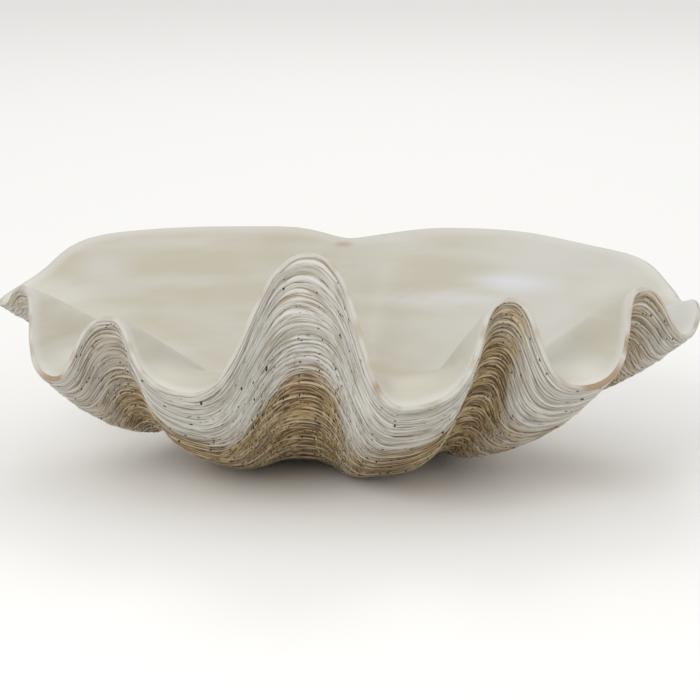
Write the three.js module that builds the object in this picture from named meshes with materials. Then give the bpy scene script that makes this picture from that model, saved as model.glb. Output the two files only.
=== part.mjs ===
// Clam shell valve lying open side up, hinge to the back, wavy margin to the front.
// Millimetres, X to the right, Y to the back, Z up.
// The outside is the margin repeated at ever smaller sizes while it turns about the hinge,
// which is how the shell grew. The inside is a smooth bowl that the folds run out into.
import * as THREE from "three";

// Point in the hinge that every earlier margin shrinks towards
const POLE = [0, 3, 168];
// Shrinking per radian of turn, and the extra shrinking that closes the beak
const SPIRAL = 0.5;
const TIGHTEN = 0.18;
// Sideways lean of the beak per radian of turn
const LEAN = 0.09;
// Turn from the margin to the tip of the beak, radians
const BEAK_TURN = 2.4;
// How far the beak lies below the hinge margin, the turn by which it does, and its reach
const BEAK_SINK = 9;
const SINK_TURN = 0.5;
const SINK_REACH = 90;
// How fast the folds flatten towards the belly, and the share that is left there
const FOLD_FADE = 4.6;
const FOLD_LEFT = 0.1;

// Margin: width of its flat edge and the angle of the bowl wall below it
const RIM_WIDTH = 4.4;
const WALL_ANGLE = 58;

// Bowl floor: lowest point of the hollow
const FLOOR = [0, -178, 36];
// Centre that the directions around the bowl are measured from
const HEART = [0, -40];
// Bowl wall: slope at the front and under the hinge, degrees
const FRONT_SLOPE = 20;
const HINGE_SLOPE = 70;
// Share of the way to the floor over which the wall keeps its slope, front and hinge
const FRONT_DIVE = 0.44;
const HINGE_DIVE = 0.62;
// Share of the way over which the floor stays level, front and hinge
const FRONT_LEVEL = 0.34;
const HINGE_LEVEL = 0.62;
// Directions between which the front wall becomes the hinge wall, degrees
const HINGE_FROM = 75;
const HINGE_BLEND = 75;
// Directions between which the wall stops aiming at the pole and aims at the floor
const AIM_FROM = 45;
const AIM_TO = 120;
// How fast a fold runs out into the bowl, and how much faster the rib channels do
const FOLD_RUNOUT = 2.3;
const CHANNEL_RUNOUT = 3.2;
const CHANNEL_DEPTH = 36;
// Thickening of the wall between margin and floor
const FILL = 2;
const FILL_PEAK = 6.75;

// Growth ledges: turn of each lip, reach outwards and inwards, and width of the step
const LEDGES = [0.05, 0.11, 0.18, 0.26, 0.35, 0.45, 0.57, 0.71, 0.88, 1.1, 1.38, 1.75];
const LEDGE_OUT = 1.7;
const LEDGE_IN = 1.3;
const LEDGE_STEP = 0.006;
// Distance from the pole below which the ledges crowd together and flatten
const LEDGE_CROWDING = 130;
const BEAK_ROWS = [1.92, 2.1, 2.25];
// Depth that the lowest ledges are worn flat by standing
const WORN_FLAT = 7;

// Mesh density
const POINTS_PER_SPAN = 6;
const BOWL_ROWS = [0, 0.05, 0.11, 0.18, 0.26, 0.34, 0.43, 0.52, 0.62, 0.73, 0.86];
const PROBE = 0.01;

// Front margin: direction from the pole, reach and level of the mean curve, how far the fold
// pushes it outwards and upwards, and the lengths of the curve's handles on both sides
const FOLDS = [
  { direction: -60.5, reach: 336, level: 147, out: 6, up: -8, before: 22, after: 12 },
  { direction: -48.5, reach: 364, level: 150, out: -4, up: 19, before: 20, after: 24 },
  { direction: -38.5, reach: 380, level: 151, out: 8, up: -42, before: 40, after: 34 },
  { direction: -31, reach: 377, level: 150, out: -8, up: 11, before: 36, after: 23 },
  { direction: -19.2, reach: 376, level: 148, out: 9, up: -37, before: 60, after: 50 },
  { direction: -5, reach: 376, level: 152, out: -12, up: 70, before: 44, after: 42 },
  { direction: 6.3, reach: 376, level: 154, out: 8, up: -49, before: 42, after: 78 },
  { direction: 19.8, reach: 376, level: 148, out: -10, up: 35, before: 34, after: 27 },
  { direction: 29, reach: 380, level: 146, out: 8, up: -35, before: 56, after: 60 },
  { direction: 39.7, reach: 378, level: 152, out: -9, up: 26, before: 31, after: 26 },
  { direction: 46.8, reach: 374, level: 154, out: 6, up: -21, before: 24, after: 16 },
  { direction: 53, reach: 362, level: 150, out: 0, up: 3, before: 12, after: 8 },
];
// Turn of the heading away from square at the first and at the last fold, degrees
const LEFT_TIP_TURN = 20;
const RIGHT_CORNER_TURN = 60;

// Hinge margin from the notch to the left tip
const LEFT_BACK = [
  { at: [0, 0, 163], heading: 180, rise: 0, before: 14, after: 14 },
  { at: [-65, 6, 173], heading: 180, rise: 0, before: 34, after: 55 },
  { at: [-200, -16, 173], heading: 196, rise: -0.04, before: 50, after: 36 },
  { at: [-268, -62, 154], heading: 236, rise: -0.5, before: 30, after: 28 },
];
// Hinge margin from the right corner, past its nick, back to the notch
const RIGHT_BACK = [
  { at: [286, -128, 138], heading: 95, rise: 0.2, before: 26, after: 6 },
  { at: [281, -100, 143], heading: 120, rise: 0.5, before: 12, after: 18 },
  { at: [236, -42, 161], heading: 158, rise: 0.12, before: 40, after: 60 },
  { at: [90, 4, 172], heading: 178, rise: 0, before: 80, after: 34 },
];

const radians = (degrees) => (degrees * Math.PI) / 180;
const plus = (a, b) => a.map((value, axis) => value + b[axis]);
const minus = (a, b) => a.map((value, axis) => value - b[axis]);
const times = (a, factor) => a.map((value) => value * factor);
const level = (a) => [a[0], a[1], 0];
const cross = (a, b) => [
  a[1] * b[2] - a[2] * b[1],
  a[2] * b[0] - a[0] * b[2],
  a[0] * b[1] - a[1] * b[0],
];
const unit = (a) => times(a, 1 / Math.hypot(...a));
const mix = (a, b, share) => plus(times(a, 1 - share), times(b, share));
const blend = (value, share) => value[0] + (value[1] - value[0]) * share;
const smooth = (value) => {
  const share = Math.min(Math.max(value, 0), 1);
  return share * share * (3 - 2 * share);
};

function bezier(p0, p1, p2, p3, t) {
  const u = 1 - t;
  const near = plus(times(p0, u * u * u), times(p1, 3 * u * u * t));
  return plus(near, plus(times(p2, 3 * u * t * t), times(p3, t * t * t)));
}

function backStation(row) {
  const angle = radians(row.heading);
  const heading = [Math.cos(angle), Math.sin(angle), row.rise];
  return { mean: row.at, fold: [0, 0, 0], heading, before: row.before, after: row.after };
}

function frontStation(row, index) {
  const angle = radians(row.direction);
  const outwards = [Math.sin(angle), -Math.cos(angle), 0];
  const turns = { 0: LEFT_TIP_TURN, [FOLDS.length - 1]: RIGHT_CORNER_TURN };
  const heading = radians(row.direction + (turns[index] ?? 0));
  return {
    mean: plus([POLE[0], POLE[1], row.level], times(outwards, row.reach)),
    fold: plus(times(outwards, row.out), [0, 0, row.up]),
    heading: [Math.cos(heading), Math.sin(heading), 0],
    before: row.before,
    after: row.after,
  };
}

// Closed margin, counter-clockwise from above: mean curve and fold displacement per point
function marginPoints() {
  const stations = [
    ...LEFT_BACK.map(backStation),
    ...FOLDS.map(frontStation),
    ...RIGHT_BACK.map(backStation),
  ];
  const points = [];
  stations.forEach((from, index) => {
    const to = stations[(index + 1) % stations.length];
    const leave = plus(from.mean, times(from.heading, from.after));
    const arrive = minus(to.mean, times(to.heading, to.before));
    for (let step = 0; step < POINTS_PER_SPAN; step += 1) {
      const share = step / POINTS_PER_SPAN;
      points.push({
        mean: bezier(from.mean, leave, arrive, to.mean, share),
        fold: mix(from.fold, to.fold, smooth(share)),
      });
    }
  });
  return points;
}

const margin = marginPoints();
const count = margin.length;
const neighbour = (index, step) => margin[(index + step + count) % count];

// Where the margin point was when the shell was smaller
function grown(point, turn) {
  const size = Math.exp(-SPIRAL * turn - TIGHTEN * turn ** 3);
  const folded = FOLD_LEFT + (1 - FOLD_LEFT) * size ** FOLD_FADE;
  const arm = plus(minus(point.mean, POLE), times(point.fold, folded));
  const cos = Math.cos(turn);
  const sin = Math.sin(turn);
  const turned = [
    arm[0] + LEAN * turn * arm[1],
    cos * arm[1] - sin * arm[2],
    sin * arm[1] + cos * arm[2],
  ];
  const beak = 1 - (size * Math.hypot(...turned)) / SINK_REACH;
  const sink = BEAK_SINK * smooth(turn / SINK_TURN) * smooth(beak);
  return plus(plus(times(turned, size), POLE), [0, 0, -sink]);
}

function outside(index, turn, lift) {
  const base = grown(margin[index], turn);
  if (lift === 0) return base;
  const room = Math.min(Math.hypot(...minus(base, POLE)) / LEDGE_CROWDING, 1);
  const along = minus(grown(margin[index], turn + PROBE), grown(margin[index], turn - PROBE));
  const around = minus(grown(neighbour(index, 1), turn), grown(neighbour(index, -1), turn));
  return plus(base, times(unit(cross(along, around)), lift * room));
}

// Inner edge of the flat margin, square to the wall below it
function innerEdge(index) {
  const point = margin[index];
  const next = neighbour(index, 1);
  const last = neighbour(index, -1);
  const folded = minus(plus(next.mean, next.fold), plus(last.mean, last.fold));
  const plain = minus(next.mean, last.mean);
  const inwards = unit([-plain[1], plain[0], 0]);
  const wall = radians(WALL_ANGLE);
  const down = plus(times(inwards, Math.cos(wall)), [0, 0, -Math.sin(wall)]);
  const across = unit(cross(unit(folded), down));
  return plus(plus(point.mean, point.fold), times(across, RIM_WIDTH));
}

function inside(index, share) {
  const { mean, fold } = margin[index];
  const toFloor = unit(level(minus(FLOOR, mean)));
  const wall = radians(WALL_ANGLE);
  const lip = plus(times(toFloor, RIM_WIDTH * Math.sin(wall)), [0, 0, RIM_WIDTH * Math.cos(wall)]);
  const start = plus(mean, lip);
  const foldShape = minus(innerEdge(index), start);
  const outwards = level(minus(start, FLOOR));
  const distance = Math.hypot(...outwards);
  const direction = Math.abs(Math.atan2(mean[0] - HEART[0], HEART[1] - mean[1])) / radians(1);
  const hinge = smooth((direction - HINGE_FROM) / HINGE_BLEND);
  const slope = radians(blend([FRONT_SLOPE, HINGE_SLOPE], hinge));
  const toPole = unit(level(minus(POLE, mean)));
  const aim = unit(mix(toPole, toFloor, smooth((direction - AIM_FROM) / (AIM_TO - AIM_FROM))));
  const descent = plus(times(aim, Math.cos(slope)), [0, 0, -Math.sin(slope)]);
  const dive = blend([FRONT_DIVE, HINGE_DIVE], hinge) * distance;
  const flat = blend([FRONT_LEVEL, HINGE_LEVEL], hinge);
  const bowl = bezier(
    start,
    plus(start, times(descent, dive)),
    plus(FLOOR, times(outwards, flat)),
    FLOOR,
    share,
  );
  const channel = Math.min(Math.max(-fold[2] / CHANNEL_DEPTH, 0), 1);
  const runout = (1 - share) ** (FOLD_RUNOUT + CHANNEL_RUNOUT * channel);
  const fill = [0, 0, FILL * FILL_PEAK * share * (1 - share) ** 2];
  return plus(plus(bowl, times(foldShape, runout)), fill);
}

// Rows of the outside from the margin back to the beak: each ledge is a foot and a lip
function outsideRows() {
  const rows = [{ turn: 0, lift: 0 }];
  LEDGES.forEach((turn) => {
    const size = Math.exp(-SPIRAL * turn - TIGHTEN * turn ** 3);
    rows.push({ turn: turn - LEDGE_STEP, lift: -LEDGE_IN * size });
    rows.push({ turn, lift: LEDGE_OUT * size });
  });
  BEAK_ROWS.forEach((turn) => rows.push({ turn, lift: 0 }));
  rows.push({ turn: BEAK_TURN, lift: 0 });
  return rows;
}

function ring(place) {
  return Array.from({ length: count }, (unused, index) => place(index));
}

// One closed skin: beak tip, outside out to the margin, over its edge, bowl down to the floor
function valveGeometry() {
  const outer = outsideRows().map((row) => ring((index) => outside(index, row.turn, row.lift)));
  const inner = BOWL_ROWS.map((share) => ring((index) => inside(index, share)));
  const smallest = outer[outer.length - 1];
  const tip = times(smallest.reduce(plus), 1 / count);
  const rings = [...outer.reverse(), ...inner];
  const points = [tip, ...rings.flat(), FLOOR];

  const lowest = Math.min(...points.map((point) => point[2]));
  const ground = lowest + WORN_FLAT;
  const xs = points.map((point) => point[0]);
  const ys = points.map((point) => point[1]);
  const middleX = (Math.min(...xs) + Math.max(...xs)) / 2;
  const middleY = (Math.min(...ys) + Math.max(...ys)) / 2;
  const corner = [middleX, middleY, ground];
  const standing = points.map(([x, y, z]) => minus([x, y, Math.max(z, ground)], corner));

  const faces = [];
  const last = points.length - 1;
  for (let index = 0; index < count; index += 1) {
    const next = (index + 1) % count;
    faces.push(0, 1 + next, 1 + index);
    for (let row = 0; row < rings.length - 1; row += 1) {
      const here = 1 + row * count;
      const there = here + count;
      faces.push(here + index, here + next, there + next);
      faces.push(here + index, there + next, there + index);
    }
    const bowlEnd = 1 + (rings.length - 1) * count;
    faces.push(bowlEnd + index, bowlEnd + next, last);
  }

  const geometry = new THREE.BufferGeometry();
  geometry.setAttribute("position", new THREE.Float32BufferAttribute(standing.flat(), 3));
  geometry.setIndex(faces);
  geometry.computeVertexNormals();
  return geometry;
}

const shellMaterial = new THREE.MeshStandardMaterial({
  name: "shell",
  color: "#d3cfc4",
  roughness: 0.6,
  metalness: 0,
  flatShading: true,
});

const valve = new THREE.Mesh(valveGeometry(), shellMaterial);
valve.name = "shell_valve";

const part = new THREE.Group();
part.name = "clam_shell";
part.add(valve);

export default part;
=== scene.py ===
# Large fluted clam valve lying open side up, with its growth ridges and its finishes
import math

import bpy
import numpy as np
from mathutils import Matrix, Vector


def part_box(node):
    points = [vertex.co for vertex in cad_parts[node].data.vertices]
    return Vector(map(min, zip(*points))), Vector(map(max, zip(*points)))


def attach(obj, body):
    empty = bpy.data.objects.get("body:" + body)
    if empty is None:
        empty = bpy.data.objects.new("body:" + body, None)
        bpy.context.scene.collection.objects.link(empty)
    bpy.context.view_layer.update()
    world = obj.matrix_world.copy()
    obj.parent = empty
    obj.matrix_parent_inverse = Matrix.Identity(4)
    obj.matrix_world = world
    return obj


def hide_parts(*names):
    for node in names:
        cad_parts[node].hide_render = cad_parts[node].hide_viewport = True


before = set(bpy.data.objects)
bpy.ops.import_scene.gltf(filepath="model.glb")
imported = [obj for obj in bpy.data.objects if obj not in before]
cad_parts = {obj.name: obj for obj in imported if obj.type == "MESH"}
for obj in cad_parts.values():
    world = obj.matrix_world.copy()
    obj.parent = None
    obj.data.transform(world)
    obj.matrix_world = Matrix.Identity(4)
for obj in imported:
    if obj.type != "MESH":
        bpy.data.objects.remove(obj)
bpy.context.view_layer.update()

MM = 0.001
SEED = 11


# Shell form, in millimetres, the same values as the solid is made from

# Point in the hinge that every earlier margin shrinks towards
POLE = np.array([0.0, 3.0, 168.0])
SPIRAL = 0.5
TIGHTEN = 0.18
LEAN = 0.09
BEAK_TURN = 2.4
BEAK_SINK = 9.0
SINK_TURN = 0.5
SINK_REACH = 90.0
FOLD_FADE = 4.6
FOLD_LEFT = 0.1

RIM_WIDTH = 4.4
WALL_ANGLE = math.radians(58)

FLOOR = np.array([0.0, -178.0, 36.0])
HEART = np.array([0.0, -40.0])
FRONT_SLOPE = 20.0
HINGE_SLOPE = 70.0
FRONT_DIVE = 0.44
HINGE_DIVE = 0.62
FRONT_LEVEL = 0.34
HINGE_LEVEL = 0.62
HINGE_FROM = 75.0
HINGE_BLEND = 75.0
AIM_FROM = 45.0
AIM_TO = 120.0
FOLD_RUNOUT = 2.3
CHANNEL_RUNOUT = 3.2
CHANNEL_DEPTH = 36.0
FILL = 2.0
FILL_PEAK = 6.75

# Front margin: direction from the pole, reach, level, fold outwards and upwards, handles
FOLDS = [
    (-60.5, 336, 147, 6, -8, 22, 12),
    (-48.5, 364, 150, -4, 19, 20, 24),
    (-38.5, 380, 151, 8, -42, 40, 34),
    (-31, 377, 150, -8, 11, 36, 23),
    (-19.2, 376, 148, 9, -37, 60, 50),
    (-5, 376, 152, -12, 70, 44, 42),
    (6.3, 376, 154, 8, -49, 42, 78),
    (19.8, 376, 148, -10, 35, 34, 27),
    (29, 380, 146, 8, -35, 56, 60),
    (39.7, 378, 152, -9, 26, 31, 26),
    (46.8, 374, 154, 6, -21, 24, 16),
    (53, 362, 150, 0, 3, 12, 8),
]
LEFT_TIP_TURN = 20.0
RIGHT_CORNER_TURN = 60.0

# Hinge margin: x, y, level, heading, rise, handles
LEFT_BACK = [
    (0, 0, 163, 180, 0, 14, 14),
    (-65, 6, 173, 180, 0, 34, 55),
    (-200, -16, 173, 196, -0.04, 50, 36),
    (-268, -62, 154, 236, -0.5, 30, 28),
]
RIGHT_BACK = [
    (286, -128, 138, 95, 0.2, 26, 6),
    (281, -100, 143, 120, 0.5, 12, 18),
    (236, -42, 161, 158, 0.12, 40, 60),
    (90, 4, 172, 178, 0, 80, 34),
]

# Fine mesh: points around the margin, the share that the plain hinge side gets of its length's
# due, and how finely a span is measured to share them out
MARGIN_POINTS = 300
HINGE_SHARE = 0.45
FEWEST_PER_SPAN = 4
SPAN_SAMPLES = 40

# Growth ridges: spacing near the margin in millimetres, and how much wider under the belly
REACH = 376.0
FIRST_RIDGE = 0.002
BEAK_LEFT = 0.06
RIDGE_SPACING = (3.3, 5.6)
BELLY_SPREAD = 1.1
BELLY_FROM = 0.72
BELLY_BLEND = 0.4
# Heights in millimetres of the thin ridges, the bold ones and the few thick ledges
RIDGE_HEIGHT = (0.35, 0.7)
BOLD_HEIGHT = (0.9, 1.5)
LEDGE_HEIGHT = (1.6, 2.1)
BOLD_SHARE = 0.42
LEDGE_EVERY = 13
# Profile of one ridge: place within its spacing and height share, from the groove on
FINE_PROFILE = [(0.0, -0.8), (0.24, 1.0), (0.62, 0.35)]
BELLY_PROFILE = [(0.0, -0.7), (0.35, 0.8)]
# Spacing in millimetres at which a ridge keeps its full height
FREE_RIDGE_SPACING = 4.0

# Wandering of the growth lines, in radians of turn, and where it starts behind the margin
WANDER_FROM = 0.05
SLOW_WANDER = 0.009
QUICK_WANDER = 0.003
BRAID_WANDER = 0.0014

# Worn edge of the margin: depth of the wear, and the chips, by fold, width and depth in mm
WEAR = 0.9
WEAR_REACH = 0.03
CHIPS = [(2.05, 11.0, 2.2), (5.75, 5.0, 1.8), (8.1, 15.0, 3.2), (8.45, 7.0, 2.0)]

# Rounded edge of the margin and the bowl's rows
RIM_ROWS = [0.12, 0.35, 0.65, 0.88]
RIM_CROWN = 1.1
BOWL_ROWS = 34
BOWL_CROWDING = 1.7
BOWL_UNEVENNESS = 0.8

# Dirt, with painted shade that deepens down the belly, on the outside by place along the margin, counted
# in folds: share at the margin, share deep down, and the millimetres of growth between which it deepens
DIRT_AND_SHADE = [
    (-0.6, 0.40, 0.60, 10, 90),
    (0.0, 0.30, 0.70, 20, 120),
    (1.0, 0.45, 0.70, 10, 90),
    (2.0, 0.25, 0.50, 30, 130),
    (3.0, 0.45, 0.95, 35, 95),
    (4.0, 0.08, 0.95, 50, 115),
    (4.7, 0.02, 0.90, 85, 140),
    (5.0, 0.05, 1.10, 75, 130),
    (5.3, 0.03, 1.00, 80, 135),
    (5.6, 0.03, 0.75, 75, 150),
    (6.0, 0.15, 0.90, 25, 105),
    (6.45, 0.25, 1.10, 30, 90),
    (6.7, 0.80, 1.10, 20, 90),
    (7.22, 0.75, 1.00, 20, 90),
    (7.5, 0.10, 0.75, 40, 110),
    (8.0, 0.08, 0.65, 40, 110),
    (8.6, 0.50, 0.80, 10, 80),
    (9.0, 0.60, 0.85, 10, 80),
    (10.0, 0.30, 0.65, 20, 90),
    (11.0, 0.15, 0.50, 20, 90),
]

# Painted highlights: places in the bowl painted whiter and bluish where the lamps shine on the satin:
# centre, reach in each direction, strength
PAINTED_HIGHLIGHTS = [
    ((145, -54, 135), (60, 60, 10), 1.0),
    ((100, -52, 121), (60, 60, 8), 0.7),
    ((60, -43, 117), (70, 60, 9), 0.5),
    ((-222, -60, 150), (40, 60, 16), 0.4),
    ((40, -6, 164), (60, 40, 7), 0.5),
]
# Brown smudge under the notch of the hinge: centre and reach in millimetres
NOTCH_STAIN = (-6.0, -5.0, 160.5)
NOTCH_STAIN_REACH = (11.0, 12.0, 3.2)


def smooth(value):
    share = np.clip(value, 0.0, 1.0)
    return share * share * (3 - 2 * share)


def unit(vectors):
    return vectors / np.linalg.norm(vectors, axis=-1, keepdims=True)


def blend(start, end, share):
    return start + (end - start) * share


def level(vectors):
    return vectors * np.array([1.0, 1.0, 0.0])


def bezier(p0, p1, p2, p3, t):
    u = 1 - t
    return p0 * u**3 + 3 * p1 * u * u * t + 3 * p2 * u * t * t + p3 * t**3


def back_station(row):
    x, y, height, heading, rise, before, after = row
    angle = math.radians(heading)
    along = np.array([math.cos(angle), math.sin(angle), rise])
    return np.array([x, y, height], float), np.zeros(3), along, before, after


def front_station(row, turn):
    direction, reach, height, out, up, before, after = row
    angle = math.radians(direction)
    outwards = np.array([math.sin(angle), -math.cos(angle), 0.0])
    mean = np.array([POLE[0], POLE[1], height]) + reach * outwards
    fold = out * outwards + np.array([0.0, 0.0, up])
    heading = math.radians(direction + turn)
    along = np.array([math.cos(heading), math.sin(heading), 0.0])
    return mean, fold, along, before, after


def span_points(start, end, share):
    leave = start[0] + start[2] * start[4]
    arrive = end[0] - end[2] * end[3]
    t = share[:, None]
    mean = bezier(start[0], leave, arrive, end[0], t)
    return mean, blend(start[1], end[1], smooth(t))


def margin_curve():
    """Margin counter-clockwise from above: mean curve, fold, share of its length, fold number."""
    turns = [LEFT_TIP_TURN] + [0.0] * (len(FOLDS) - 2) + [RIGHT_CORNER_TURN]
    stations = [back_station(row) for row in LEFT_BACK]
    stations += [front_station(row, turn) for row, turn in zip(FOLDS, turns)]
    stations += [back_station(row) for row in RIGHT_BACK]
    spans = list(zip(stations, stations[1:] + stations[:1]))
    numbers = np.arange(len(spans)) - len(LEFT_BACK)
    ruler = np.linspace(0, 1, SPAN_SAMPLES)
    lengths = []
    for start, end in spans:
        mean, fold = span_points(start, end, ruler)
        lengths.append(np.linalg.norm(np.diff(mean + fold, axis=0), axis=1).sum())
    total = sum(lengths)
    folded = (numbers >= -1) & (numbers < len(FOLDS))
    due = np.array(lengths) * np.where(folded, 1.0, HINGE_SHARE)
    means, folds, places, counts = [], [], [], []
    done = 0.0
    for (start, end), length, wanted, number in zip(spans, lengths, due / due.sum(), numbers):
        steps = max(FEWEST_PER_SPAN, round(MARGIN_POINTS * wanted))
        share = np.arange(steps) / steps
        mean, fold = span_points(start, end, share)
        means.append(mean)
        folds.append(fold)
        places.append((done + share * length) / total)
        counts.append(number + share)
        done += length
    rows = [np.concatenate(part) for part in (means, folds, places, counts)]
    return (*rows, total)


def size_at(turn):
    return np.exp(-SPIRAL * turn - TIGHTEN * turn**3)


def grown(mean, fold, turn):
    """Outside of the shell: turn is one value for each row and margin point."""
    size = size_at(turn)[..., None]
    folded = FOLD_LEFT + (1 - FOLD_LEFT) * size**FOLD_FADE
    arm = (mean - POLE)[None] + fold[None] * folded
    cos, sin = np.cos(turn), np.sin(turn)
    x = arm[..., 0] + LEAN * turn * arm[..., 1]
    y = cos * arm[..., 1] - sin * arm[..., 2]
    z = sin * arm[..., 1] + cos * arm[..., 2]
    turned = size * np.stack([x, y, z], -1)
    beak = 1 - np.linalg.norm(turned, axis=-1) / SINK_REACH
    turned[..., 2] -= BEAK_SINK * smooth(turn / SINK_TURN) * smooth(beak)
    return turned + POLE


def ripple(rng, place, depth, waves, around, down):
    """Smooth noise that closes on itself around the margin, about -1 to 1."""
    total = np.zeros(np.broadcast(place, depth).shape)
    for _ in range(waves):
        turns = rng.integers(around[0], around[1] + 1)
        rate = rng.uniform(*down)
        phase = rng.uniform(0, math.tau)
        total = total + np.sin(math.tau * (turns * place + rate * depth) + phase)
    return total / math.sqrt(waves)


def ridge_rows(rng):
    """Turn, height in millimetres and profile share of each row behind the margin."""
    rows = []
    turn = FIRST_RIDGE
    number = 0
    while turn < BEAK_TURN - BEAK_LEFT:
        size = float(size_at(turn))
        slant = math.hypot(1, SPIRAL + 3 * TIGHTEN * turn * turn)
        wider = 1 + BELLY_SPREAD * float(smooth((turn - BELLY_FROM) / BELLY_BLEND))
        step = rng.uniform(*RIDGE_SPACING) * wider / (REACH * size * slant)
        bold = rng.random() < BOLD_SHARE
        height = rng.uniform(*(BOLD_HEIGHT if bold else RIDGE_HEIGHT))
        if number % LEDGE_EVERY == LEDGE_EVERY - 1:
            height = rng.uniform(*LEDGE_HEIGHT)
        for place, share in FINE_PROFILE if turn < BELLY_FROM else BELLY_PROFILE:
            rows.append((turn + place * step, height * math.sqrt(size), share))
        turn += step
        number += 1
    return np.array(rows)


def edge_wear(rng, place, fold_number, length):
    """Turn by which the margin is worn back at each point, with its chips."""
    rough = np.clip(ripple(rng, place, 0.0, 12, (20, 90), (0, 0)), 0, 1)
    worn = WEAR * rough
    for number, width, depth in CHIPS:
        centre = np.interp(number, fold_number, place)
        distance = (place - centre) * length / width
        worn = worn + depth * np.exp(-(distance**4))
    return worn / REACH


def outside_rows(mean, fold, place, wear, rng):
    """Points of the outside from the margin to the beak, with ridge and growth values."""
    rows = ridge_rows(rng)
    nominal = rows[:, 0][:, None]
    started = smooth(nominal / WANDER_FROM)
    wander = SLOW_WANDER * ripple(rng, place, nominal, 7, (2, 13), (0.4, 3.0)) * started
    wander += QUICK_WANDER * ripple(rng, place, nominal, 7, (10, 34), (2.0, 7.0)) * started
    wander += BRAID_WANDER * ripple(rng, place, nominal, 9, (8, 44), (25.0, 60.0)) * started
    turn = nominal + wander * size_at(nominal) + wear * np.exp(-nominal / WEAR_REACH)
    base = grown(mean, fold, turn)
    down = np.gradient(base, axis=0)
    around = np.roll(base, -1, 1) - np.roll(base, 1, 1)
    out = unit(np.cross(down, around))
    room = 3 * np.linalg.norm(down, axis=2)
    patchy = 0.28 * ripple(rng, place, nominal, 9, (3, 28), (3.0, 18.0))
    braided = 0.42 * ripple(rng, place, nominal, 11, (6, 40), (30.0, 110.0))
    fade = np.clip(0.8 + patchy + braided, 0.08, 1.35)
    height = rows[:, 1][:, None] * fade * np.clip(room / FREE_RIDGE_SPACING, 0, 1) ** 2
    crest = np.broadcast_to(rows[:, 2][:, None], turn.shape)
    points = base + out * (height * crest)[..., None]
    plain = grown(mean, fold, np.broadcast_to(nominal, turn.shape))
    steps = np.linalg.norm(np.diff(plain, axis=0, prepend=(mean + fold)[None]), axis=2)
    return points, crest * np.clip(height, 0.3, 1.2), np.cumsum(steps, axis=0)


def edge_frame(mean, fold):
    """Inwards across the flat margin, and down the wall below it."""
    folded = mean + fold
    tangent = unit(np.roll(folded, -1, 0) - np.roll(folded, 1, 0))
    plain = np.roll(mean, -1, 0) - np.roll(mean, 1, 0)
    inwards = unit(np.stack([-plain[:, 1], plain[:, 0], 0 * plain[:, 0]], 1))
    down = inwards * math.cos(WALL_ANGLE) - np.array([0, 0, math.sin(WALL_ANGLE)])
    return unit(np.cross(tangent, down)), down


def bowl_points(mean, fold, share):
    across, _ = edge_frame(mean, fold)
    to_floor = unit(level(FLOOR - mean))
    lip = to_floor * math.sin(WALL_ANGLE) + np.array([0, 0, math.cos(WALL_ANGLE)])
    start = mean + RIM_WIDTH * lip
    fold_shape = mean + fold + RIM_WIDTH * across - start
    outwards = level(start - FLOOR)
    distance = np.linalg.norm(outwards, axis=1, keepdims=True)
    direction = np.degrees(np.abs(np.arctan2(mean[:, 0] - HEART[0], HEART[1] - mean[:, 1])))
    direction = direction[:, None]
    hinge = smooth((direction - HINGE_FROM) / HINGE_BLEND)
    slope = np.radians(blend(FRONT_SLOPE, HINGE_SLOPE, hinge))
    to_pole = unit(level(POLE - mean))
    aim = unit(blend(to_pole, to_floor, smooth((direction - AIM_FROM) / (AIM_TO - AIM_FROM))))
    descent = aim * np.cos(slope) - np.array([0, 0, 1]) * np.sin(slope)
    dive = start + descent * blend(FRONT_DIVE, HINGE_DIVE, hinge) * distance
    flat = FLOOR + outwards * blend(FRONT_LEVEL, HINGE_LEVEL, hinge)
    s = share[:, None, None]
    bowl = bezier(start[None], dive[None], flat[None], FLOOR[None, None], s)
    channel = np.clip(-fold[:, 2:] / CHANNEL_DEPTH, 0, 1)[None]
    runout = (1 - s) ** (FOLD_RUNOUT + CHANNEL_RUNOUT * channel)
    fill = FILL * FILL_PEAK * s * (1 - s) ** 2 * np.array([0, 0, 1.0])
    return bowl + fold_shape[None] * runout + fill


def rim_points(mean, fold, edge):
    """Rounded rows over the flat margin, from the worn outer edge inwards."""
    across, down = edge_frame(mean, fold)
    inner = mean + fold + RIM_WIDTH * across
    rows = []
    for share in RIM_ROWS:
        crown = RIM_CROWN * math.sqrt(4 * share * (1 - share))
        rows.append(blend(edge, inner, share) - crown * down)
    return np.array(rows)


# Share of dirt on the outside, deepening down the belly partly as painted shade
def dirt_and_shade_share(fold_number, growth):
    keys = np.array(DIRT_AND_SHADE)
    near, deep, start, full = (np.interp(fold_number, keys[:, 0], column) for column in keys[:, 1:].T)
    return near + (deep - near) * smooth((growth - start) / (full - start))


def painted_highlight_share(points):
    share = np.zeros(points.shape[:-1])
    for centre, reach, strength in PAINTED_HIGHLIGHTS:
        distance = np.linalg.norm((points - np.array(centre)) / np.array(reach), axis=-1)
        share = np.maximum(share, strength * smooth(1 - distance))
    return share


def with_ends(rows, first, final):
    """One list of the closing point at the beak, the rows, and the closing point of the bowl."""
    flat = rows.reshape(-1, *rows.shape[2:])
    return np.concatenate([first[None], flat, final[None]])


def skin_faces(rings, count):
    """Faces between the closed rings, with a fan on the first and on the last of them."""
    index = np.arange(count)
    following = (index + 1) % count
    quads = []
    for row in range(rings - 1):
        here = 1 + row * count
        there = here + count
        corners = [here + index, here + following, there + following, there + index]
        quads += np.stack(corners, 1).tolist()
    bowl_end = 1 + (rings - 1) * count
    last = 1 + rings * count
    beak = np.stack([0 * index, 1 + following, 1 + index], 1).tolist()
    middle = np.stack([bowl_end + index, bowl_end + following, 0 * index + last], 1).tolist()
    return beak + quads + middle


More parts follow.
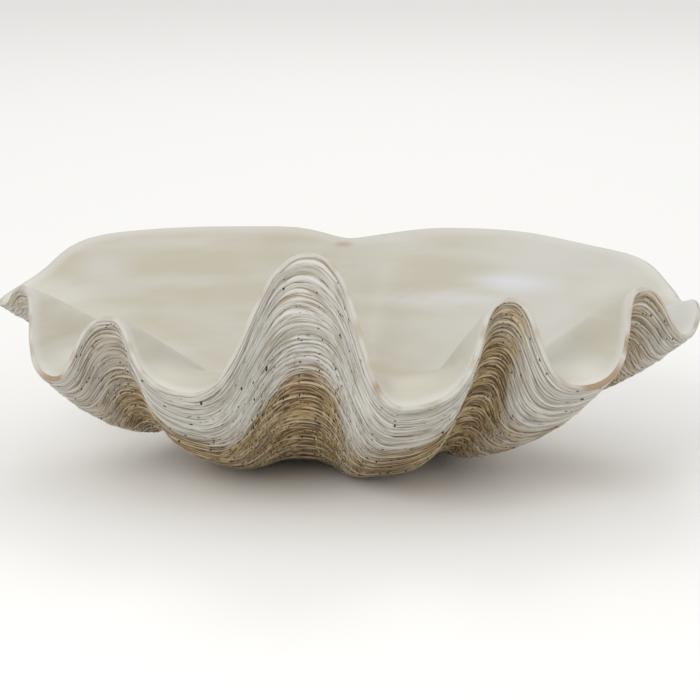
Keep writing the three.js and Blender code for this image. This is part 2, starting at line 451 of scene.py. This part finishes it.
def valve_mesh():
    """One closed skin from the beak over the outside, the margin and down into the bowl."""
    rng = np.random.default_rng(SEED)
    mean, fold, place, fold_number, length = margin_curve()
    count = len(mean)
    wear = edge_wear(rng, place, fold_number, length)
    outside, crest, growth = outside_rows(mean, fold, place, wear, rng)
    edge = grown(mean, fold, wear[None])[0]
    rim = rim_points(mean, fold, edge)
    share = np.linspace(0, 1, BOWL_ROWS + 1)[:-1] ** BOWL_CROWDING
    bowl = bowl_points(mean, fold, share)
    uneven = ripple(rng, place, share[:, None] * 2, 6, (1, 5), (0.3, 1.5))
    bowl[..., 2] += BOWL_UNEVENNESS * uneven * smooth(share / 0.2)[:, None] * (1 - share)[:, None]
    rings = np.concatenate([outside[::-1], edge[None], rim, bowl])

    steps = np.linalg.norm(np.diff(bowl, axis=0, prepend=bowl[:1]), axis=2)
    bowl_depth = np.cumsum(steps, axis=0)
    across = np.array([0.0, *RIM_ROWS])[:, None] * np.ones(count)
    chipped = np.clip(wear * REACH / 2, 0, 1)[None] * np.ones((len(across), 1))
    parts = {
        "growth_mm": [growth[::-1], 0 * across, bowl_depth],
        "crest": [crest[::-1], 0 * across, 0 * bowl_depth],
        "dirt_shade_chips": [dirt_and_shade_share(fold_number, growth)[::-1], chipped, 0 * bowl_depth],
        "rim_across": [0 * growth, across, 0 * bowl_depth + 1],
        "painted_highlight": [0 * growth, 0 * across, painted_highlight_share(bowl)],
    }
    values = {name: np.concatenate(rows) for name, rows in parts.items()}
    radius = length / math.tau
    circle = np.stack([radius * np.cos(math.tau * place), radius * np.sin(math.tau * place)], 1)
    circle = np.broadcast_to(circle, (len(rings), count, 2))
    values["growth_place"] = np.concatenate([circle, values["growth_mm"][..., None]], -1)
    attributes = {}
    for name, rows in values.items():
        attributes[name] = with_ends(rows, rows[0].mean(0), rows[-1].mean(0))

    bands = [0] * (len(outside) + 1) + [1] * (len(RIM_ROWS) + 1) + [2] * len(bowl)
    points = with_ends(rings, outside[-1].mean(0), FLOOR)
    return points, skin_faces(len(rings), count), np.repeat(bands, count), attributes


def stand_in_box(points):
    """Move the points from the growth frame to the row frame, inside the solid's box."""
    low, high = (np.array(corner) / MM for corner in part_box("shell_valve"))
    own_low, own_high = points.min(0), points.max(0)
    ground = own_high[2] - (high[2] - low[2])
    centre = (own_low[:2] + own_high[:2]) / 2
    fit = np.minimum((high - low)[:2] / (own_high - own_low)[:2], 1.0)
    shift = np.array([centre[0], centre[1], ground])
    stood = points - shift
    stood[:, :2] *= fit
    stood[:, 2] = np.maximum(stood[:, 2], 0.0)
    return stood, shift


def build_valve():
    points, faces, slots, attributes = valve_mesh()
    stood, shift = stand_in_box(points)
    mesh = bpy.data.meshes.new("clam_valve")
    mesh.from_pydata((stood * MM).tolist(), [], faces)
    mesh.polygons.foreach_set("material_index", slots.astype(np.int32))
    mesh.polygons.foreach_set("use_smooth", np.ones(len(faces), bool))
    for name, data in attributes.items():
        if data.ndim == 1:
            layer = mesh.attributes.new(name, "FLOAT", "POINT")
            layer.data.foreach_set("value", data.astype(np.float32))
        else:
            layer = mesh.attributes.new(name, "FLOAT_VECTOR", "POINT")
            layer.data.foreach_set("vector", data.astype(np.float32).ravel())
    mesh.update()
    piece = bpy.data.objects.new("clam_valve", mesh)
    bpy.context.scene.collection.objects.link(piece)
    return piece, shift


def paint(code):
    """Linear colour of an sRGB hex value."""
    parts = [int(code[i : i + 2], 16) / 255 for i in (1, 3, 5)]
    linear = [c / 12.92 if c <= 0.04045 else ((c + 0.055) / 1.055) ** 2.4 for c in parts]
    return (*linear, 1.0)


ATTRIBUTE = "ShaderNodeAttribute"
MATHS = "ShaderNodeMath"
MIX = "ShaderNodeMix"
NOISE = "ShaderNodeTexNoise"
RANGE = "ShaderNodeMapRange"
VECTOR_MATHS = "ShaderNodeVectorMath"
ARAGONITE_IOR = 1.53
# Settings of a Map Range that eases in and out, and of a Mix of colours
SOFT = {"interpolation_type": "SMOOTHSTEP"}
COLOURS = {"data_type": "RGBA"}
# Places of the sockets of a colour Mix node
FACTOR, COLOUR_A, COLOUR_B, COLOUR_OUT = 0, 6, 7, 2


def add(tree, kind, inputs=None, out=None, **settings):
    """A node with its settings and links; gives the node, or the output that is asked for."""
    node = tree.nodes.new(kind)
    for name, value in settings.items():
        setattr(node, name, value)
    for name, value in (inputs or {}).items():
        if isinstance(value, bpy.types.NodeSocket):
            tree.links.new(value, node.inputs[name])
        else:
            node.inputs[name].default_value = value
    return node if out is None else node.outputs[out]


def per_wave(wave_mm, stretch):
    """Scale of growth coordinates for waves of this length that run along the margin."""
    return (1 / (wave_mm * stretch), 1 / (wave_mm * stretch), 1 / wave_mm)


def new_material(name, roughness, ior):
    material = bpy.data.materials.new(name)
    material.use_nodes = True
    tree = material.node_tree
    tree.nodes.clear()
    surface = add(tree, "ShaderNodeBsdfPrincipled", {"Roughness": roughness, "IOR": ior})
    add(tree, "ShaderNodeOutputMaterial", {"Surface": surface.outputs["BSDF"]})
    return material, tree, surface


def chalky_outer_shell():
    """Weathered outer layer of aragonite: matt chalk-white crests, partly painted highlight, with dirt and
    painted shade in the grooves and lower down.
    """
    material, tree, surface = new_material("chalky_outer_shell", 0.66, ARAGONITE_IOR)
    place = add(tree, ATTRIBUTE, out="Vector", attribute_name="growth_place")
    crest = add(tree, ATTRIBUTE, out="Fac", attribute_name="crest")
    dirt_shade_chips = add(tree, ATTRIBUTE, out="Fac", attribute_name="dirt_shade_chips")

    # Growth lines are under 0.5 mm apart; drawn 1.5 mm apart, as fine as shows from 2 m
    line_place = add(tree, VECTOR_MATHS, {0: place, 1: per_wave(1.5, 26)}, 0, operation="MULTIPLY")
    lines = add(tree, NOISE, {"Vector": line_place, "Scale": 1.0, "Detail": 2.0}, "Fac")
    # Bundles of lines, 5 mm wide, that are paler or browner together
    band_place = add(tree, VECTOR_MATHS, {0: place, 1: per_wave(5.0, 11)}, 0, operation="MULTIPLY")
    bands = add(tree, NOISE, {"Vector": band_place, "Scale": 1.0, "Detail": 2.0}, "Fac")
    # Damp-stained patches, 35 mm across
    patch_place = add(tree, VECTOR_MATHS, {0: place, 1: per_wave(35.0, 1.6)}, 0, operation="MULTIPLY")
    patches = add(tree, NOISE, {"Vector": patch_place, "Scale": 1.0, "Detail": 3.0}, "Fac")

    # Clean shell: chalk white, with greyer bundles and thin grey-tan lines
    banded = add(tree, RANGE, {"Value": bands, "From Min": 0.38, "From Max": 0.62}, 0, **SOFT)
    white = add(tree, MIX, {FACTOR: banded, COLOUR_A: paint("#b9b6ae"), COLOUR_B: paint("#d4d2cc")},
                COLOUR_OUT, **COLOURS)
    thin = add(tree, RANGE, {"Value": lines, "From Min": 0.5, "From Max": 0.38, "To Max": 0.75}, 0, **SOFT)
    lined = add(tree, MIX, {FACTOR: thin, COLOUR_A: white, COLOUR_B: paint("#9c9079")},
                COLOUR_OUT, **COLOURS)
    # Paler crests: wear, and partly a painted highlight where the ridges meet the light
    worn = add(tree, RANGE, {"Value": crest, "From Min": 0.15, "From Max": 0.85, "To Max": 0.7}, 0, **SOFT)
    crest_wear_and_highlight = add(tree, MIX, {FACTOR: worn, COLOUR_A: lined, COLOUR_B: paint("#dfded9")},
                  COLOUR_OUT, **COLOURS)

    # Tan in the grooves: dust, and partly painted shade in the grooves, more of it in some patches and
    # where the dirt and shade map is high
    groove = add(tree, RANGE, {"Value": crest, "From Min": -0.05, "From Max": -0.6}, 0, **SOFT)
    dust_shade_amount = add(tree, MATHS, {0: dirt_shade_chips, 1: 0.35, 2: patches}, 0, operation="MULTIPLY_ADD")
    dust_shade_amount = add(tree, RANGE, {"Value": dust_shade_amount, "From Min": 0.38, "From Max": 0.68,
                              "To Min": 0.35, "To Max": 0.95}, 0, **SOFT)
    groove_dust_and_shade = add(tree, MATHS, {0: groove, 1: dust_shade_amount}, 0, operation="MULTIPLY")
    grooved = add(tree, MIX, {FACTOR: groove_dust_and_shade, COLOUR_A: crest_wear_and_highlight, COLOUR_B: paint("#8c7858")},
                  COLOUR_OUT, **COLOURS)

    # Dark dashes about 18 mm long and 1 mm wide lie in some grooves
    dash_place = add(tree, VECTOR_MATHS, {0: place, 1: per_wave(1.1, 16)}, 0, operation="MULTIPLY")
    dashes = add(tree, NOISE, {"Vector": dash_place, "Scale": 1.0, "Detail": 3.0}, "Fac")
    dashes = add(tree, MATHS, {0: dirt_shade_chips, 1: 0.09, 2: dashes}, 0, operation="MULTIPLY_ADD")
    dash = add(tree, RANGE, {"Value": dashes, "From Min": 0.6, "From Max": 0.7, "To Max": 0.7}, 0, **SOFT)
    low = add(tree, RANGE, {"Value": crest, "From Min": 0.75, "From Max": 0.2}, 0, **SOFT)
    dash = add(tree, MATHS, {0: dash, 1: low}, 0, operation="MULTIPLY")

    # Brown stain, with painted shade deeper down the belly, follows the dirt and shade map, with ragged
    # edges along the growth lines
    ragged = add(tree, MATHS, {0: bands, 1: 0.7, 2: dirt_shade_chips}, 0, operation="MULTIPLY_ADD")
    ragged = add(tree, MATHS, {0: patches, 1: 0.8, 2: ragged}, 0, operation="MULTIPLY_ADD")
    stain_and_shade = add(tree, RANGE, {"Value": ragged, "From Min": 0.95, "From Max": 1.7}, 0, **SOFT)
    streaked = add(tree, RANGE, {"Value": lines, "From Min": 0.42, "From Max": 0.55}, 0, **SOFT)
    brown = add(tree, MIX, {FACTOR: streaked, COLOUR_A: paint("#543d23"), COLOUR_B: paint("#b39a6d")},
                COLOUR_OUT, **COLOURS)
    # Crests paler in the brown: bleaching, and partly a painted highlight
    bleach_and_highlight = add(tree, RANGE, {"Value": crest, "From Min": 0.1, "From Max": 0.9, "To Max": 0.75},
                   0, **SOFT)
    brown = add(tree, MIX, {FACTOR: bleach_and_highlight, COLOUR_A: brown, COLOUR_B: paint("#d3c7ab")},
                COLOUR_OUT, **COLOURS)
    stained_and_shaded = add(tree, MIX, {FACTOR: stain_and_shade, COLOUR_A: grooved, COLOUR_B: brown}, COLOUR_OUT, **COLOURS)
    stained_and_shaded = add(tree, MIX, {FACTOR: dash, COLOUR_A: stained_and_shaded, COLOUR_B: paint("#64492c")},
                  COLOUR_OUT, **COLOURS)

    # Borings about 1 by 2 mm, in rows along the growth lines, more of them where the dirt and shade map is
    # high
    hole_place = add(tree, VECTOR_MATHS, {0: place, 1: per_wave(2.4, 1.9)}, 0, operation="MULTIPLY")
    cells = add(tree, "ShaderNodeTexVoronoi", {"Vector": hole_place, "Scale": 1.0})
    hole = add(tree, RANGE, {"Value": cells.outputs["Distance"], "From Min": 0.3, "From Max": 0.2},
               0, **SOFT)
    chance = add(tree, "ShaderNodeSeparateColor", {0: cells.outputs["Color"]}, 0)
    row_place = add(tree, VECTOR_MATHS, {0: place, 1: per_wave(7.0, 6)}, 0, operation="MULTIPLY")
    rows = add(tree, NOISE, {"Vector": row_place, "Scale": 1.0, "Detail": 2.0}, "Fac")
    chance = add(tree, MATHS, {0: rows, 1: 2.0, 2: chance}, 0, operation="MULTIPLY_ADD")
    chance = add(tree, MATHS, {0: dirt_shade_chips, 1: 0.5, 2: chance}, 0, operation="MULTIPLY_ADD")
    bored = add(tree, RANGE, {"Value": chance, "From Min": 1.95, "From Max": 2.05}, 0, **SOFT)
    hole = add(tree, MATHS, {0: hole, 1: bored}, 0, operation="MULTIPLY")
    pitted = add(tree, MIX, {FACTOR: hole, COLOUR_A: stained_and_shaded, COLOUR_B: paint("#3a2b1c")},
                 COLOUR_OUT, **COLOURS)

    relief = add(tree, MATHS, {0: hole, 1: -1.2, 2: lines}, 0, operation="MULTIPLY_ADD")
    relief = add(tree, MATHS, {0: bands, 1: 0.8, 2: relief}, 0, operation="MULTIPLY_ADD")
    normal = add(tree, "ShaderNodeBump", {"Height": relief, "Strength": 0.9, "Distance": 1.2 * MM}, 0)
    tree.links.new(pitted, surface.inputs["Base Color"])
    tree.links.new(normal, surface.inputs["Normal"])
    return material


def worn_margin():
    """Rubbed edge of the layers: off-white, with a tan line where the outer layer ends."""
    material, tree, surface = new_material("worn_margin", 0.5, ARAGONITE_IOR)
    place = add(tree, ATTRIBUTE, out="Vector", attribute_name="growth_place")
    across = add(tree, ATTRIBUTE, out="Fac", attribute_name="rim_across")
    chipped = add(tree, ATTRIBUTE, out="Fac", attribute_name="dirt_shade_chips")

    # The tan line comes and goes every 30 mm or so along the margin
    tan_place = add(tree, VECTOR_MATHS, {0: place, 1: per_wave(30.0, 1)}, 0, operation="MULTIPLY")
    waves = add(tree, NOISE, {"Vector": tan_place, "Scale": 1.0, "Detail": 4.0}, "Fac")
    strength = add(tree, RANGE, {"Value": waves, "From Min": 0.45, "From Max": 0.68,
                                 "To Min": 0.05, "To Max": 0.7}, 0, **SOFT)
    outer = add(tree, RANGE, {"Value": across, "From Min": 0.4, "From Max": 0.0}, 0, **SOFT)
    line = add(tree, MATHS, {0: strength, 1: outer}, 0, operation="MULTIPLY")
    line = add(tree, MATHS, {0: line, 1: chipped}, 0, operation="MAXIMUM")
    tint = add(tree, MIX, {FACTOR: line, COLOUR_A: paint("#c6c3ba"), COLOUR_B: paint("#a38a6c")},
               COLOUR_OUT, **COLOURS)
    tree.links.new(tint, surface.inputs["Base Color"])
    return material


def satin_inner_shell(shift):
    """Porcelain-like inner layer: ivory, smooth and satin, whiter along the margin, with painted
    highlights in the bowl.
    """
    material, tree, surface = new_material("satin_inner_shell", 0.48, ARAGONITE_IOR)
    depth = add(tree, ATTRIBUTE, out="Fac", attribute_name="growth_mm")
    painted_highlight = add(tree, ATTRIBUTE, out="Fac", attribute_name="painted_highlight")
    seat = add(tree, "ShaderNodeTexCoord", out="Object")

    # Faint level streaks, 20 mm high and 150 mm long, left by the growing inner layer
    streak_size = (1 / 0.15, 1 / 0.15, 1 / 0.02)
    streak_place = add(tree, VECTOR_MATHS, {0: seat, 1: streak_size}, 0, operation="MULTIPLY")
    streaks = add(tree, NOISE, {"Vector": streak_place, "Scale": 1.0, "Detail": 4.0}, "Fac")
    # Clouds 120 mm across, between yellower and greyer ivory
    clouds = add(tree, NOISE, {"Vector": seat, "Scale": 1 / 0.12, "Detail": 2.0}, "Fac")

    side = add(tree, "ShaderNodeSeparateXYZ", {0: seat}, "X")
    right = add(tree, RANGE, {"Value": side, "From Min": -0.2, "From Max": 0.25}, 0, **SOFT)
    ivory = add(tree, MIX, {FACTOR: right, COLOUR_A: paint("#c4bfb0"), COLOUR_B: paint("#cbcac3")},
                COLOUR_OUT, **COLOURS)
    cloudy = add(tree, RANGE, {"Value": clouds, "From Min": 0.4, "From Max": 0.65, "To Max": 0.7},
                 0, **SOFT)
    clouded = add(tree, MIX, {FACTOR: cloudy, COLOUR_A: ivory, COLOUR_B: paint("#beb7a3")},
                  COLOUR_OUT, **COLOURS)
    streaky = add(tree, RANGE, {"Value": streaks, "From Min": 0.4, "From Max": 0.65, "To Max": 0.7},
                  0, **SOFT)
    streaked = add(tree, MIX, {FACTOR: streaky, COLOUR_A: clouded, COLOUR_B: paint("#cdcbc3")},
                   COLOUR_OUT, **COLOURS)
    # Painted highlight: whiter bluish patches in the bowl
    highlighted = add(tree, MIX, {FACTOR: painted_highlight, COLOUR_A: streaked, COLOUR_B: paint("#d8d9de")},
                 COLOUR_OUT, **COLOURS)
    edge = add(tree, RANGE, {"Value": depth, "From Min": 11.0, "From Max": 1.0, "To Max": 0.7}, 0, **SOFT)
    edged = add(tree, MIX, {FACTOR: edge, COLOUR_A: highlighted, COLOUR_B: paint("#d3d2cd")},
                COLOUR_OUT, **COLOURS)

    # Brown smudge under the notch of the hinge
    centre = tuple((np.array(NOTCH_STAIN) - shift) * MM)
    per_reach = tuple(1 / (np.array(NOTCH_STAIN_REACH) * MM))
    offset = add(tree, VECTOR_MATHS, {0: seat, 1: centre}, 0, operation="SUBTRACT")
    offset = add(tree, VECTOR_MATHS, {0: offset, 1: per_reach}, 0, operation="MULTIPLY")
    distance = add(tree, VECTOR_MATHS, {0: offset}, "Value", operation="LENGTH")
    distance = add(tree, MATHS, {0: streaks, 1: 1.2, 2: distance}, 0, operation="MULTIPLY_ADD")
    smudge = add(tree, RANGE, {"Value": distance, "From Min": 1.8, "From Max": 0.7, "To Max": 0.5},
                 0, **SOFT)
    marked = add(tree, MIX, {FACTOR: smudge, COLOUR_A: edged, COLOUR_B: paint("#a88c62")},
                 COLOUR_OUT, **COLOURS)
    tree.links.new(marked, surface.inputs["Base Color"])
    return material


def dress(piece, shift):
    for material in (chalky_outer_shell(), worn_margin(), satin_inner_shell(shift)):
        piece.data.materials.append(material)
    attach(piece, "root")
    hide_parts("shell_valve")


# Camera and light, in metres and watts
ELEVATION = math.radians(14)
DISTANCE = 2.0
AIM_POINT = np.array([0.0, -165.0, 100.0])
LENS = 119.7
SENSOR = 36.0
STUDIO_FLOOR = 40.0
SKY_STRENGTH = 0.78
LIT_POINT = (0.0, 0.0, 0.1)
LIGHTS = [
    ("key", (-1.2, -2.0, 1.9), 1.6, 24.0),
    ("fill", (1.8, -1.6, 1.2), 1.8, 8.0),
    ("back", (0.2, 2.4, 2.6), 1.6, 16.0),
]


def look_at(item, place, target):
    item.location = place
    direction = target - item.location
    item.rotation_euler = direction.to_track_quat("-Z", "Y").to_euler()


def add_camera(shift):
    target = Vector((AIM_POINT - shift) * MM)
    lens = bpy.data.cameras.new("photo_camera")
    lens.lens = LENS
    lens.sensor_width = SENSOR
    camera = bpy.data.objects.new("photo_camera", lens)
    bpy.context.scene.collection.objects.link(camera)
    back = Vector((0.0, -math.cos(ELEVATION), math.sin(ELEVATION))) * DISTANCE
    look_at(camera, target + back, target)
    bpy.context.scene.camera = camera


def add_lights():
    for name, place, width, power in LIGHTS:
        lamp = bpy.data.lights.new(name, "AREA")
        lamp.shape = "DISK"
        lamp.size = width
        lamp.energy = power
        light = bpy.data.objects.new(name, lamp)
        bpy.context.scene.collection.objects.link(light)
        look_at(light, Vector(place), Vector(LIT_POINT))
    world = bpy.data.worlds.new("studio")
    world.use_nodes = True
    sky = world.node_tree.nodes["Background"]
    sky.inputs["Color"].default_value = paint("#fbfaf8")
    sky.inputs["Strength"].default_value = SKY_STRENGTH
    bpy.context.scene.world = world


def add_floor():
    half = STUDIO_FLOOR / 2
    sheet = bpy.data.meshes.new("studio_floor")
    corners = [(-half, -half, 0), (half, -half, 0), (half, half, 0), (-half, half, 0)]
    sheet.from_pydata(corners, [], [(0, 1, 2, 3)])
    floor = bpy.data.objects.new("studio_floor", sheet)
    bpy.context.scene.collection.objects.link(floor)
    material, _, surface = new_material("studio_paper", 0.9, 1.45)
    surface.inputs["Base Color"].default_value = paint("#fafaf9")
    sheet.materials.append(material)


valve, frame_shift = build_valve()
dress(valve, frame_shift)
add_camera(frame_shift)
add_lights()
add_floor()
bpy.context.scene.view_settings.view_transform = "Standard"

bpy.context.view_layer.update()
